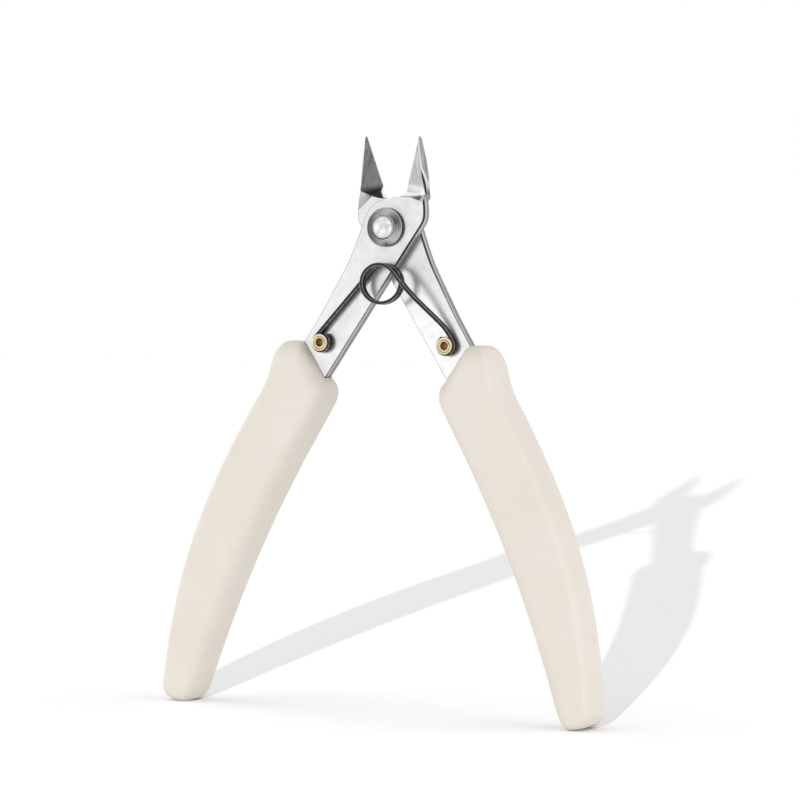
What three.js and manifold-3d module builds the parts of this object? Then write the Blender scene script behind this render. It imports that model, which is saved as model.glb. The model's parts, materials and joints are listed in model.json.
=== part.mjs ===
// Flush cutter for electronics work: two crossed steel halves on a riveted pivot,
// moulded grips, and a flat return spring held between two hollow posts.
// Units are millimetres. The tool stands on the ends of its grips with the jaws up,
// +X to the right, -Y towards the side with the rivet collar, +Z up.
// While the pieces are made, the pivot is at zero. The group lifts them off the ground.

import * as THREE from 'three';
import { mergeVertices } from 'three/addons/utils/BufferGeometryUtils.js';
import Module from 'manifold-3d';

const wasm = await Module();
wasm.setup();

const degree = Math.PI / 180;
const quarterTurn = 90 * degree;
const half = 0.5;

// Steel halves
const sheet = 3.0;                     // thickness of each blank
const lapGap = 0.3;                    // running gap between the two blanks
const headRadius = 5.65;               // round head of each blank
const headShift = 0.4;                 // its centre from the pivot, up and towards the jaw
const openHalfAngle = 17 * degree;     // each cutting edge from the middle when open
const jawReach = 20.1;                 // pivot to the tips
const edgeRoot = 9.4;                  // pivot to the start of the cutting edge
const edgeClearance = 0.15;            // each cutting edge from the middle when closed
const tipWidth = 0.45;                 // width left at the tip
const notchDepth = 0.5;                // relief between heel and cutting edge
const jawThickness = 3.0;              // at the root, before grinding
const tipThickness = 0.5;              // at the tip, after grinding
const landWidth = 0.9;                 // straight wall left beside the cutting edge
const bevelSlope = 24.8 * degree;      // the front grind falls this much towards the edge
const bevelLean = 2.9 * degree;        // and this much from the tip to the root
const bevelRunOut = 2.2;               // radius that the wheel leaves at the foot of the grind
const flushStart = 8.6;                // pivot to the start of the ground back face
const chamferAngle = 32 * degree;      // chamfer along the outside of a jaw, from its outer wall
const chamferLean = 3.8 * degree;      // the chamfer leans this much towards the middle

// Arms and tangs
const armAngle = 33 * degree;          // each arm from the middle when open
const armLength = 30.0;                // pivot to the grip mouth, along the arm
const armInner = 6.0;                  // inner edge of an arm from the line through the pivot
const armOuter = 2.15;                 // outer edge from the same line
const shoulderAt = 36.0;               // pivot to the shoulder of the tang, along the arm
const tangEnd = 54.0;                  // pivot to the end of the tang
const tangInset = 0.95;                // the tang is this much narrower on each side

// Pivot rivet and its collar
const pinRadius = 2.45;
const pinProud = 2.05;                 // pin end above the front blank
const pinBreak = 0.2;
const pivotFit = 0.3;                  // round the pin and under its heads
const collarRadius = 4.05;
const collarWall = 0.75;               // upright wall of the collar
const collarTop = 1.9;                 // top of its cone above the front blank
const rivetHeadRadius = 4.2;
const rivetHeadWall = 0.55;
const rivetHeadDome = 0.75;
const rivetHeadFlat = 2.0;             // radius of the flat on the dome
const rivetHeadFull = 0.75;            // share of the dome's height halfway out

// Spring posts
const postReach = 27.85;               // pivot to the posts
const postAngle = 29.2 * degree;
const postRadius = 1.1;
const postBore = 0.82;
const flangeRadius = 1.78;
const flangeThickness = 0.42;
const flangeBreak = 0.14;
const flareRadius = 1.75;
const flareThickness = 0.4;
const postFit = 0.3;                   // in its hole, and to the spring round it

// Return spring
const stripThickness = 0.65;
const stripWidth = 1.8;
const stripFit = 0.25;                 // strip to blank, and strip to flange
const turnGap = 0.5;                   // between the turns of the coil
const coilRadius = 4.35;               // outside of the coil
const coilAcross = 0.4;                // coil centre from the middle
const coilDrop = 11.8;                 // coil centre below the pivot
const kneeAcross = 12.5;               // where the long leg bends towards its post
const kneeDrop = 18.0;
const leftWrap = 262 * degree;         // how far the strip goes round each post
const rightWrap = 248 * degree;
const stripStep = 12 * degree;         // turning between two sections of the strip
const legSteps = 6;                    // sections along a straight leg
const legHold = 3.5;                   // the long leg stays in front this far from the coil

// Grips
const gripTop = 24.0;                  // pivot down to the top of a grip
const gripHeight = 77.7;               // top of a grip to its foot
const gripSpread = 49.0;               // middle to the outside of a foot
const gripThickness = 12.5;            // at the top
const gripFootThickness = 11.6;
const slotFit = 0.3;                   // between a tang and its slot
const innerRounding = 3.6;             // how far each rounding reaches in from its edge
const outerRounding = 2.3;
const topRounding = 5.0;
const footRounding = 1.5;
const footThin = 0.88;                 // share of the thickness left at the foot
const footAngle = 10 * degree;         // slope of the cut foot
const footAcross = 42.09;              // where the cut foot stands on the ground
const footOverrun = 0.8;               // how far the moulding is made past the cut

const cutOverrun = 3.0;                // how far a cutter runs past what it cuts
const arcSteps = 40;                   // facets round a turned piece
const weldDistance = 0.00001;          // points nearer than this are one

const lapHalf = lapGap * half;
const blankOuter = sheet + lapHalf;
const blankMiddle = blankOuter - sheet * half;
const jawHalf = jawThickness * half;
const closingRange = 2 * openHalfAngle;
const groundHeight = gripTop + gripHeight;
const cutReach = tangEnd + jawReach;   // size of the large cutters

// What differs between the blanks. The front one carries the collar and the right-hand jaw.
const frontBlank = {
  jawSide: 1,
  outward: -1,
  heelReach: 6.8,
  heelAngle: 15 * degree,
  stepHeight: 6.4,                     // step of the outer face, under the middle of the jaw
  stepRise: 1.3,
  stepTilt: -17 * degree,
  lapHeight: 6.05,                     // step of the lap face
  lapRise: 1.0,
  lapTilt: -8 * degree,
  lapReach: 6.5,                       // radius kept free for the head of the other blank
  lapSlope: 0.9,
  bevelFoot: 6.5,                      // foot of the grind, under the middle of the jaw
  bevelTilt: -3 * degree,
  chamferFoot: 6.9,                    // pivot up to the start of the chamfer
};
const backBlank = {
  jawSide: -1,
  outward: 1,
  heelReach: 6.95,
  heelAngle: 23 * degree,
  stepHeight: 6.3,
  stepRise: 1.9,
  stepTilt: 0,
  lapHeight: 7.1,
  lapRise: 2.35,
  lapTilt: -43 * degree,
  lapReach: 8.45,
  lapSlope: 0.2,
  bevelFoot: 6.5,
  bevelTilt: 0,
  chamferFoot: 4.0,
};
const jawMiddle = 4.6;                 // where those heights are measured, from the middle

// Outline shares: [across, up] of jawReach, and [along, across] of armLength and an arm edge.
const jawOuterShares = [
  [0.361, 0.716], [0.379, 0.547], [0.381, 0.423], [0.384, 0.348], [0.4, 0.269], [0.411, 0.164],
];
const chamferShare = 0.374;            // front edge of the chamfer at the pivot's height, of jawReach
const neckShares = [[-0.189, 0.988], [-0.113, 1.008], [0.02, 1.0]];
const waistShares = [[0.79, 1.06], [0.545, 1.28], [0.36, 1.5], [0.19, 1.95]];
const headLeave = 162 * degree;
const headJoin = 87 * degree;

// Grip shares: [across, down] of gripSpread and gripHeight, in pairs from the top to the foot.
const gripOuterShares = [
  [0.4755, 0.0095], [0.498, 0.046], [0.535, 0.116], [0.6245, 0.2125], [0.739, 0.347],
  [0.838, 0.489], [0.917, 0.643], [0.968, 0.798], [0.996, 0.933], [0.9985, 0.982],
];
const gripInnerShares = [
  [0.248, 0.1235], [0.259, 0.162], [0.31, 0.226], [0.406, 0.335], [0.511, 0.464],
  [0.601, 0.586], [0.690, 0.721], [0.765, 0.849], [0.822, 0.952], [0.853, 0.996],
];
const gripTopShares = [
  [0.4755, 0.0095], [0.452, 0.001], [0.42, 0.0], [0.3735, 0.0035], [0.351, 0.022],
  [0.311, 0.06], [0.27, 0.0985], [0.2545, 0.11], [0.248, 0.1235],
];
const gripFootShares = [
  [0.9985, 0.982], [0.985, 0.999], [0.95, 1.008], [0.915, 1.011], [0.88, 1.012], [0.853, 0.996],
];
const gripAcrossSteps = 18;
const gripAlongSteps = 30;
const roundingPower = 2.3;
const topPull = 5;                     // how quickly the shape of the top fades down the grip
const footPull = 18;

function finish(colour, metalness, roughness) {
  return new THREE.MeshStandardMaterial({ color: colour, metalness, roughness });
}

// A closed geometry as a solid that can be joined and cut.
function toSolid(geometry) {
  const bare = geometry.clone();
  bare.deleteAttribute('normal');
  bare.deleteAttribute('uv');
  const merged = mergeVertices(bare, weldDistance);
  const mesh = new wasm.Mesh({
    numProp: 3,
    vertProperties: new Float32Array(merged.attributes.position.array),
    triVerts: new Uint32Array(merged.index.array),
  });
  return new wasm.Manifold(mesh);
}

function toMesh(name, solid, material) {
  const made = solid.getMesh();
  const geometry = new THREE.BufferGeometry();
  const positions = new Float32Array(made.vertProperties);
  geometry.setAttribute('position', new THREE.BufferAttribute(positions, made.numProp));
  geometry.setIndex(new THREE.BufferAttribute(new Uint32Array(made.triVerts), 1));
  geometry.computeVertexNormals();
  const mesh = new THREE.Mesh(geometry, material);
  mesh.name = name;
  return mesh;
}

// An outline drawn in X and Z, made solid between two places on Y.
function slab(outline, fromY, toY) {
  const geometry = new THREE.ExtrudeGeometry(outline, {
    depth: toY - fromY,
    bevelEnabled: false,
    curveSegments: arcSteps * half,
  });
  geometry.rotateX(Math.PI * half);
  geometry.translate(0, toY, 0);
  return toSolid(geometry);
}

// A piece turned about Y, from [radius, y] pairs in either order.
function turned(profile) {
  const points = profile.map(([radius, y]) => new THREE.Vector2(radius, y));
  if (THREE.ShapeUtils.area(points) < 0) points.reverse();
  return toSolid(new THREE.LatheGeometry(points, arcSteps));
}

function turnedRing(profile) {
  return turned([...profile, profile[0]]);
}

function cylinder(radius, fromY, toY) {
  return turned([[0, fromY], [radius, fromY], [radius, toY], [0, toY]]);
}

// A long prism. Its outline is drawn on the directions first and second about an origin.
function prism(outline, origin, first, second) {
  const third = new THREE.Vector3().crossVectors(first, second);
  const geometry = new THREE.ExtrudeGeometry(outline, { depth: 2 * cutReach, bevelEnabled: false });
  geometry.translate(0, 0, -cutReach);
  const turn = new THREE.Matrix4().makeBasis(first, second, third).setPosition(origin);
  geometry.applyMatrix4(turn);
  return toSolid(geometry);
}

function outlineOf(points) {
  return new THREE.Shape(points.map(([across, up]) => new THREE.Vector2(across, up)));
}

function fromVertical(radius, angle) {
  return new THREE.Vector2(radius * Math.sin(angle), radius * Math.cos(angle));
}

// A place on the left arm: along it from the pivot, and across it towards the other arm.
function onArm(along, across) {
  return new THREE.Vector2(
    across * Math.cos(armAngle) - along * Math.sin(armAngle),
    -along * Math.cos(armAngle) - across * Math.sin(armAngle),
  );
}

// A place on the right-hand cutting edge.
function onEdge(reach) {
  const offset = fromVertical(edgeClearance, openHalfAngle + Math.PI * half);
  return fromVertical(reach, openHalfAngle).add(offset);
}

// The outline of a blank with its jaw on the right and its arm on the left.
function blankOutline(blank) {
  const tip = onEdge(jawReach);
  const edgeStart = onEdge(edgeRoot);
  const heel = fromVertical(blank.heelReach, blank.heelAngle);
  const notch = edgeStart.clone().lerp(heel, half);
  notch.x += notchDepth;
  const jawOuter = jawOuterShares.map(([across, up]) => (
    new THREE.Vector2(across * jawReach, up * jawReach)
  ));
  const neck = neckShares.map(([along, across]) => onArm(along * armLength, across * armInner));
  const waist = waistShares.map(([along, across]) => onArm(along * armLength, -across * armOuter));
  const leave = new THREE.Vector2(
    headShift + headRadius * Math.cos(headLeave),
    headShift + headRadius * Math.sin(headLeave),
  );
  const shape = new THREE.Shape();
  shape.moveTo(tip.x, tip.y);
  shape.lineTo(tip.x + tipWidth, tip.y - tipWidth);
  shape.lineTo(jawOuter[0].x, jawOuter[0].y);
  shape.splineThru([...jawOuter.slice(1), ...neck]);
  const tang = [
    onArm(shoulderAt - tangInset, armInner),
    onArm(shoulderAt, armInner - tangInset),
    onArm(tangEnd - tangInset, armInner - tangInset),
    onArm(tangEnd, armInner - 2 * tangInset),
    onArm(tangEnd, 2 * tangInset - armOuter),
    onArm(tangEnd - tangInset, tangInset - armOuter),
    onArm(shoulderAt, tangInset - armOuter),
    onArm(shoulderAt - tangInset, -armOuter),
    onArm(armLength, -armOuter),
  ];
  tang.forEach((point) => shape.lineTo(point.x, point.y));
  shape.splineThru([...waist, leave]);
  shape.absarc(headShift, headShift, headRadius, headLeave, headJoin, true);
  shape.lineTo(heel.x, heel.y);
  shape.lineTo(notch.x, notch.y);
  shape.lineTo(edgeStart.x, edgeStart.y);
  shape.closePath();
  return shape;
}

// A cutter that follows a step across the blank. Its profile is drawn upwards and outwards.
function stepCutter(profile, height, tilt) {
  const upwards = new THREE.Vector3(-Math.sin(tilt), 0, Math.cos(tilt));
  const origin = new THREE.Vector3(jawMiddle, 0, height);
  return prism(outlineOf(profile), origin, upwards, new THREE.Vector3(0, 1, 0));
}

// One blank, made as the right-jawed half with its outer face towards +Y or -Y.
function makeBlank(blank) {
  const out = (distance) => blank.outward * distance;
  const lowY = Math.min(out(blankOuter), out(-jawHalf));
  const highY = Math.max(out(blankOuter), out(-jawHalf));
  let solid = slab(blankOutline(blank), lowY, highY);

  const outerStep = stepCutter([
    [0, out(blankOuter)],
    [blank.stepRise, out(jawHalf)],
    [cutReach, out(jawHalf)],
    [cutReach, out(blankOuter + cutOverrun)],
    [0, out(blankOuter + cutOverrun)],
  ], blank.stepHeight, blank.stepTilt);
  const lapStep = stepCutter([
    [-cutReach, out(-jawHalf - cutOverrun)],
    [blank.lapRise, out(-jawHalf - cutOverrun)],
    [blank.lapRise, out(-jawHalf)],
    [0, out(lapHalf)],
    [-cutReach, out(lapHalf)],
  ], blank.lapHeight, blank.lapTilt);
  const headRoom = turned([
    [0, out(lapHalf)],
    [blank.lapReach, out(lapHalf)],
    [blank.lapReach + blank.lapSlope, out(-jawHalf)],
    [blank.lapReach + blank.lapSlope, out(-jawHalf - cutOverrun)],
    [0, out(-jawHalf - cutOverrun)],
  ]);
  solid = solid.subtract(outerStep).subtract(lapStep).subtract(headRoom);

  // Flush back face, ground in line with the cutting edge.
  const edgeUp = new THREE.Vector3(Math.sin(openHalfAngle), 0, Math.cos(openHalfAngle));
  const tipBack = tipThickness - jawHalf;
  const flushFall = (jawHalf - tipBack) / (jawReach - flushStart);
  const flush = prism(outlineOf([
    [flushStart, jawHalf],
    [flushStart + cutReach, jawHalf - flushFall * cutReach],
    [flushStart + cutReach, cutReach],
    [flushStart, cutReach],
  ]), new THREE.Vector3(), edgeUp, new THREE.Vector3(0, 1, 0));

  // Front grind: a sloping face with the radius of the wheel at its foot.
  const fallAcross = Math.tan(bevelSlope);
  const fallUp = Math.tan(bevelLean);
  const grindOut = new THREE.Vector3(-fallAcross, -1, -fallUp).normalize();
  const footLine = new THREE.Vector3(Math.cos(blank.bevelTilt), 0, Math.sin(blank.bevelTilt));
  footLine.y = -fallAcross * footLine.x - fallUp * footLine.z;
  const upLine = new THREE.Vector3().crossVectors(grindOut, footLine).normalize();
  const landFront = onEdge(edgeRoot);
  const grindOrigin = new THREE.Vector3(landFront.x, jawHalf - landWidth, landFront.y);
  const footHeight = blank.bevelFoot + (landFront.x - jawMiddle) * Math.tan(blank.bevelTilt);
  const footAt = (footHeight - landFront.y) * Math.cos(blank.bevelTilt);
  const profile = new THREE.Shape();
  profile.moveTo(footAt, cutReach);
  profile.lineTo(footAt, bevelRunOut);
  profile.absarc(footAt + bevelRunOut, bevelRunOut, bevelRunOut, Math.PI, Math.PI + quarterTurn, false);
  profile.lineTo(cutReach, 0);
  profile.lineTo(cutReach, cutReach);
  const grind = prism(profile, grindOrigin, upLine, grindOut);

  // Chamfer along the outside of the jaw.
  const chamferUp = new THREE.Vector3(-Math.sin(chamferLean), 0, Math.cos(chamferLean));
  const chamferOut = new THREE.Vector3(
    Math.cos(chamferAngle) * chamferUp.z,
    -Math.sin(chamferAngle),
    -Math.cos(chamferAngle) * chamferUp.x,
  );
  const chamfer = prism(outlineOf([
    [blank.chamferFoot, 0],
    [cutReach, 0],
    [cutReach, cutReach],
    [blank.chamferFoot, cutReach],
  ]), new THREE.Vector3(chamferShare * jawReach, -jawHalf, 0), chamferUp, chamferOut);
  solid = solid.subtract(flush).subtract(grind).subtract(chamfer);

  const postTurn = armAngle - postAngle;
  const post = onArm(postReach * Math.cos(postTurn), postReach * Math.sin(postTurn));
  const postHole = cylinder(postRadius + postFit, lowY - cutOverrun, highY + cutOverrun);
  const pivotHole = cylinder(pinRadius + pivotFit, lowY - cutOverrun, highY + cutOverrun);
  solid = solid.subtract(postHole.translate(post.x, 0, post.y)).subtract(pivotHole);
  return blank.jawSide > 0 ? solid : solid.mirror([1, 0, 0]);
}

function makeRivet() {
  const frontEnd = -blankOuter - pinProud;
  const headUnder = blankOuter + pivotFit;
  const headEdge = headUnder + rivetHeadWall;
  return turned([
    [0, frontEnd],
    [pinRadius - pinBreak, frontEnd],
    [pinRadius, frontEnd + pinBreak],
    [pinRadius, headUnder],
    [rivetHeadRadius, headUnder],
    [rivetHeadRadius, headEdge],
    [(rivetHeadRadius + rivetHeadFlat) * half, headEdge + rivetHeadDome * rivetHeadFull],
    [rivetHeadFlat, headEdge + rivetHeadDome],
    [0, headEdge + rivetHeadDome],
  ]);
}

function makeCollar() {
  const seat = -blankOuter - pivotFit;
  const bore = pinRadius + pivotFit;
  return turnedRing([
    [bore, seat],
    [bore, -blankOuter - collarTop],
    [bore + pinBreak, -blankOuter - collarTop],
    [collarRadius, -blankOuter - pivotFit - collarWall],
    [collarRadius, seat],
  ]);
}

// A hollow post in a blank, with a flange over the spring and a flare behind the blank.
function makePost(faceY, across) {
  const flangeUnder = faceY - 2 * stripFit - stripWidth;
  const flangeTop = flangeUnder - flangeThickness;
  const flareUnder = faceY + sheet + postFit;
  const post = turnedRing([
    [postBore + flangeBreak, flangeTop],
    [postBore, flangeTop + flangeBreak],
    [postBore, flareUnder + flareThickness],
    [flareRadius, flareUnder + flareThickness],
    [flareRadius, flareUnder],
    [postRadius, flareUnder],
    [postRadius, flangeUnder],
    [flangeRadius, flangeUnder],
    [flangeRadius, flangeTop + flangeBreak],
    [flangeRadius - flangeBreak, flangeTop],
  ]);
  return post.translate(across, 0, -postReach * Math.cos(postAngle));
}

// The angle at which a line from a far point touches a circle, on the chosen side of it.
function touchAngle(centre, radius, point, turnSide) {
  const away = point.clone().sub(centre);
  return Math.atan2(away.y, away.x) + turnSide * Math.acos(radius / away.length());
}

function onCircle(centre, radius, angle) {
  return new THREE.Vector2(centre.x + radius * Math.cos(angle), centre.y + radius * Math.sin(angle));
}

function arcPath(centre, radius, fromAngle, toAngle) {
  const steps = Math.ceil(Math.abs(toAngle - fromAngle) / stripStep);
  return Array.from({ length: steps + 1 }, (_, k) => (
    onCircle(centre, radius, fromAngle + (toAngle - fromAngle) * k / steps)
  ));
}

function linePath(from, to) {
  return Array.from({ length: legSteps + 1 }, (_, k) => from.clone().lerp(to, k / legSteps));
}

function ease(share) {
  const held = Math.min(Math.max(share, 0), 1);
  return held * held * (3 - 2 * held);
}

// The middle line of the spring from end to end, as places in X and Z with a height on Y.
function springLine() {
  const postAcross = postReach * Math.sin(postAngle);
  const postDown = -postReach * Math.cos(postAngle);
  const rightPost = new THREE.Vector2(postAcross, postDown);
  const leftPost = new THREE.Vector2(-postAcross, postDown);
  const coil = new THREE.Vector2(coilAcross, -coilDrop);
  const coilLine = coilRadius - stripThickness * half;
  const loopLine = postRadius + postFit + stripThickness * half;
  const knee = new THREE.Vector2(kneeAcross, -kneeDrop);
  const rightLevel = lapHalf - stripFit - stripWidth * half;
  const leftLevel = -blankOuter - stripFit - stripWidth * half;
  const frontLevel = leftLevel - stripWidth - turnGap;

  const rightTouch = touchAngle(rightPost, loopLine, knee, -1);
  const coilStart = touchAngle(coil, coilLine, knee, 1);
  const legTurn = Math.acos((coilLine - loopLine) / coil.distanceTo(leftPost));
  const legHeading = Math.atan2(leftPost.y - coil.y, leftPost.x - coil.x);
  const leftTouch = legHeading - legTurn + 2 * Math.PI;
  const coilEnd = leftTouch + 2 * Math.PI;

  const rightEnd = rightTouch - rightWrap;
  const rightStub = onCircle(rightPost, loopLine, rightEnd);
  rightStub.x += stripThickness * Math.sin(rightEnd);
  rightStub.y -= stripThickness * Math.cos(rightEnd);
  const leftEnd = leftTouch + leftWrap;
  const leftStub = onCircle(leftPost, loopLine, leftEnd);
  leftStub.x -= stripThickness * Math.sin(leftEnd);
  leftStub.y += stripThickness * Math.cos(leftEnd);

  const rightLoop = arcPath(rightPost, loopLine, rightEnd, rightTouch);
  const lowerLeg = linePath(onCircle(rightPost, loopLine, rightTouch), knee);
  const upperLeg = linePath(knee, onCircle(coil, coilLine, coilStart));
  const wound = arcPath(coil, coilLine, coilStart, coilEnd);
  const leftLeg = linePath(onCircle(coil, coilLine, coilEnd), onCircle(leftPost, loopLine, leftTouch));
  const leftLoop = arcPath(leftPost, loopLine, leftTouch, leftEnd);

  const line = [];
  const put = (point, y) => line.push(new THREE.Vector3(point.x, y, point.y));
  put(rightStub, rightLevel);
  rightLoop.forEach((point) => put(point, rightLevel));
  const legLength = lowerLeg[0].distanceTo(knee) + knee.distanceTo(wound[0]) - legHold;
  [...lowerLeg.slice(1), ...upperLeg.slice(1, -1)].forEach((point, k) => {
    const gone = k < legSteps
      ? lowerLeg[0].distanceTo(point)
      : lowerLeg[0].distanceTo(knee) + knee.distanceTo(point);
    put(point, rightLevel + (frontLevel - rightLevel) * ease(gone / legLength));
  });
  const shared = coilEnd - coilStart - 2 * Math.PI;
  wound.forEach((point, k) => {
    const angle = (coilEnd - coilStart) * k / (wound.length - 1);
    const share = (angle - shared) / (2 * Math.PI - shared);
    put(point, frontLevel + (leftLevel - frontLevel) * ease(share));
  });
  leftLeg.slice(1, -1).forEach((point) => put(point, leftLevel));
  leftLoop.forEach((point) => put(point, leftLevel));
  put(leftStub, leftLevel);
  return line;
}

// The strip as one unbroken sweep along its middle line.
function makeSpring() {
  const line = springLine();
  const rings = line.map((place, k) => {
    const before = line[Math.max(k - 1, 0)];
    const after = line[Math.min(k + 1, line.length - 1)];
    const heading = new THREE.Vector2(after.x - before.x, after.z - before.z).normalize();
    const side = new THREE.Vector3(-heading.y, 0, heading.x).multiplyScalar(stripThickness * half);
    const width = new THREE.Vector3(0, stripWidth * half, 0);
    return [
      place.clone().add(side).add(width),
      place.clone().sub(side).add(width),
      place.clone().sub(side).sub(width),
      place.clone().add(side).sub(width),
    ];
  });
  const corners = rings[0].length;
  const faces = [];
  for (let k = 0; k < rings.length - 1; k += 1) {
    for (let c = 0; c < corners; c += 1) {
      const next = (c + 1) % corners;
      const a = k * corners + c;
      const b = k * corners + next;
      faces.push(a, b + corners, b, a, a + corners, b + corners);
    }
  }
  const last = (rings.length - 1) * corners;
  faces.push(0, 1, 2, 0, 2, 3);
  faces.push(last, last + 2, last + 1, last, last + 3, last + 2);
  const geometry = new THREE.BufferGeometry();
  const positions = rings.flat().flatMap((point) => point.toArray());
  geometry.setAttribute('position', new THREE.Float32BufferAttribute(positions, 3));
  geometry.setIndex(faces);
  printSelfGap(rings);
  return toSolid(geometry);
}

// The least distance from the strip to itself, measured between points on its faces.
function printSelfGap(rings) {
  const perSide = 4;
  const shares = Array.from({ length: perSide }, (_, k) => k / perSide);
  const onRing = rings.map((ring) => ring.flatMap((corner, c) => (
    shares.map((share) => corner.clone().lerp(ring[(c + 1) % ring.length], share))
  )));
  const middles = rings.map((ring) => ring[0].clone().add(ring[2]).multiplyScalar(half));
  const passed = [0];
  middles.slice(1).forEach((middle, k) => passed.push(passed[k] + middle.distanceTo(middles[k])));
  let least = Infinity;
  for (let a = 0; a < rings.length; a += 1) {
    for (let b = a + 1; b < rings.length; b += 1) {
      if (passed[b] - passed[a] > 2 * (stripWidth + stripThickness)) {
        onRing[a].forEach((first) => onRing[b].forEach((second) => {
          least = Math.min(least, first.distanceTo(second));
        }));
      }
    }
  }
  console.log(`return_spring: least gap to itself ${least.toFixed(2)} mm`);
}

function throughShares(shares) {
  return new THREE.SplineCurve(shares.map(([across, down]) => (
    new THREE.Vector2(across * gripSpread, -gripTop - down * gripHeight)
  )));
}

// How full the section is at a distance in from an edge: nothing at the edge, all of it past the reach.
function fullness(distance, reach) {
  const share = Math.min(Math.max(distance / reach, 0), 1);
  return (1 - (1 - share) ** roundingPower) ** (1 / roundingPower);
}

// The right-hand grip as a moulded body about the plane of its tang.
function gripBody() {
  const outer = throughShares(gripOuterShares);
  const inner = throughShares(gripInnerShares);
  const top = throughShares(gripTopShares);
  const foot = throughShares(gripFootShares);
  const crowd = (share) => half - half * Math.cos(share * Math.PI);
  const place = (s, u) => {
    const body = outer.getPoint(u).lerp(inner.getPoint(u), s);
    const topLine = outer.getPoint(0).lerp(inner.getPoint(0), s);
    const footLine = outer.getPoint(1).lerp(inner.getPoint(1), s);
    const topBulge = top.getPoint(s).sub(topLine).multiplyScalar((1 - u) ** topPull);
    const footBulge = foot.getPoint(s).sub(footLine).multiplyScalar(u ** footPull);
    return body.add(topBulge).add(footBulge);
  };
  const halfDepth = (s, u) => {
    const here = place(s, u);
    const wide = outer.getPoint(u).distanceTo(inner.getPoint(u));
    const fromTop = here.distanceTo(place(s, 0));
    const fromFoot = here.distanceTo(place(s, 1));
    const thickness = gripThickness + (gripFootThickness - gripThickness) * u;
    const footShare = footThin + (1 - footThin) * fullness(fromFoot - footOverrun, footRounding);
    return thickness * half * footShare * fullness(fromTop, topRounding)
      * fullness(s * wide, outerRounding) * fullness((1 - s) * wide, innerRounding);
  };
  const positions = [];
  const row = gripAcrossSteps + 1;
  const sides = [-1, 1];
  sides.forEach((side) => {
    for (let k = 0; k <= gripAlongSteps; k += 1) {
      const along = k / gripAlongSteps;
      const u = along * along * half + along * half;
      for (let c = 0; c <= gripAcrossSteps; c += 1) {
        const s = crowd(c / gripAcrossSteps);
        const here = place(s, u);
        const edge = c === 0 || c === gripAcrossSteps || k === 0;
        positions.push(here.x, edge ? 0 : side * halfDepth(s, u), here.y);
      }
    }
  });
  const faces = [];
  const backStart = row * (gripAlongSteps + 1);
  for (let k = 0; k < gripAlongSteps; k += 1) {
    for (let c = 0; c < gripAcrossSteps; c += 1) {
      const a = k * row + c;
      faces.push(a, a + 1, a + row + 1, a, a + row + 1, a + row);
      const b = backStart + a;
      faces.push(b, b + row + 1, b + 1, b, b + row, b + row + 1);
    }
  }
  for (let c = 0; c < gripAcrossSteps; c += 1) {
    const a = gripAlongSteps * row + c;
    const b = backStart + a;
    if (c > 0) faces.push(a, a + 1, b, b, a + 1, b + 1);
    else faces.push(a, a + 1, b + 1);
  }
  const geometry = new THREE.BufferGeometry();
  geometry.setAttribute('position', new THREE.Float32BufferAttribute(positions, 3));
  geometry.setIndex(faces);
  return toSolid(geometry);
}

// A grip with the slot for its tang and the cut foot.
function makeGrip(side, middleY) {
  const slotOutline = new THREE.Shape([
    onArm(half * armLength, armInner + slotFit),
    onArm(shoulderAt + slotFit, armInner + slotFit),
    onArm(shoulderAt + slotFit, armInner - tangInset + slotFit),
    onArm(tangEnd + slotFit, armInner - tangInset + slotFit),
    onArm(tangEnd + slotFit, tangInset - armOuter - slotFit),
    onArm(shoulderAt + slotFit, tangInset - armOuter - slotFit),
    onArm(shoulderAt + slotFit, -armOuter - slotFit),
    onArm(half * armLength, -armOuter - slotFit),
  ]);
  const slotHalf = sheet * half + slotFit;
  const slot = slab(slotOutline, -slotHalf, slotHalf).mirror([1, 0, 0]);
  const footUp = new THREE.Vector3(-Math.sin(footAngle), 0, Math.cos(footAngle));
  const footCut = prism(outlineOf([
    [0, -cutReach],
    [0, cutReach],
    [-cutReach, cutReach],
    [-cutReach, -cutReach],
  ]), new THREE.Vector3(footAcross, 0, -groundHeight), footUp, new THREE.Vector3(0, 1, 0));
  const grip = gripBody().subtract(slot).subtract(footCut).translate(0, middleY, 0);
  return side > 0 ? grip : grip.mirror([1, 0, 0]);
}

const steel = () => finish(0xd6d7d8, 1.0, 0.32);
const grip = () => finish(0xece4d8, 0.0, 0.6);
const brass = () => finish(0xe0b863, 1.0, 0.28);
const postAcross = postReach * Math.sin(postAngle);

const tool = new THREE.Group();
tool.name = 'flush_cutter';
tool.add(
  toMesh('front_half', makeBlank(frontBlank), steel()),
  toMesh('back_half', makeBlank(backBlank), steel()),
  toMesh('pivot_rivet', makeRivet(), finish(0xe4e4e2, 1.0, 0.3)),
  toMesh('rivet_collar', makeCollar(), finish(0x7a7b7d, 1.0, 0.35)),
  toMesh('return_spring', makeSpring(), finish(0x2d2e31, 0.9, 0.4)),
  toMesh('left_spring_post', makePost(-blankOuter, -postAcross), brass()),
  toMesh('right_spring_post', makePost(lapHalf, postAcross), brass()),
  toMesh('left_grip', makeGrip(-1, -blankMiddle), grip()),
  toMesh('right_grip', makeGrip(1, blankMiddle), grip()),
);
tool.children.forEach((mesh) => mesh.geometry.translate(0, 0, groundHeight));
const facets = tool.children.reduce((sum, mesh) => sum + mesh.geometry.index.count / 3, 0);
console.log(`facets ${facets}, closing range ${(closingRange / degree).toFixed(1)} degrees`);

export default tool;
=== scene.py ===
import json
import math
import bpy
import bmesh
import numpy as np
from mathutils import Vector, Matrix


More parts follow.
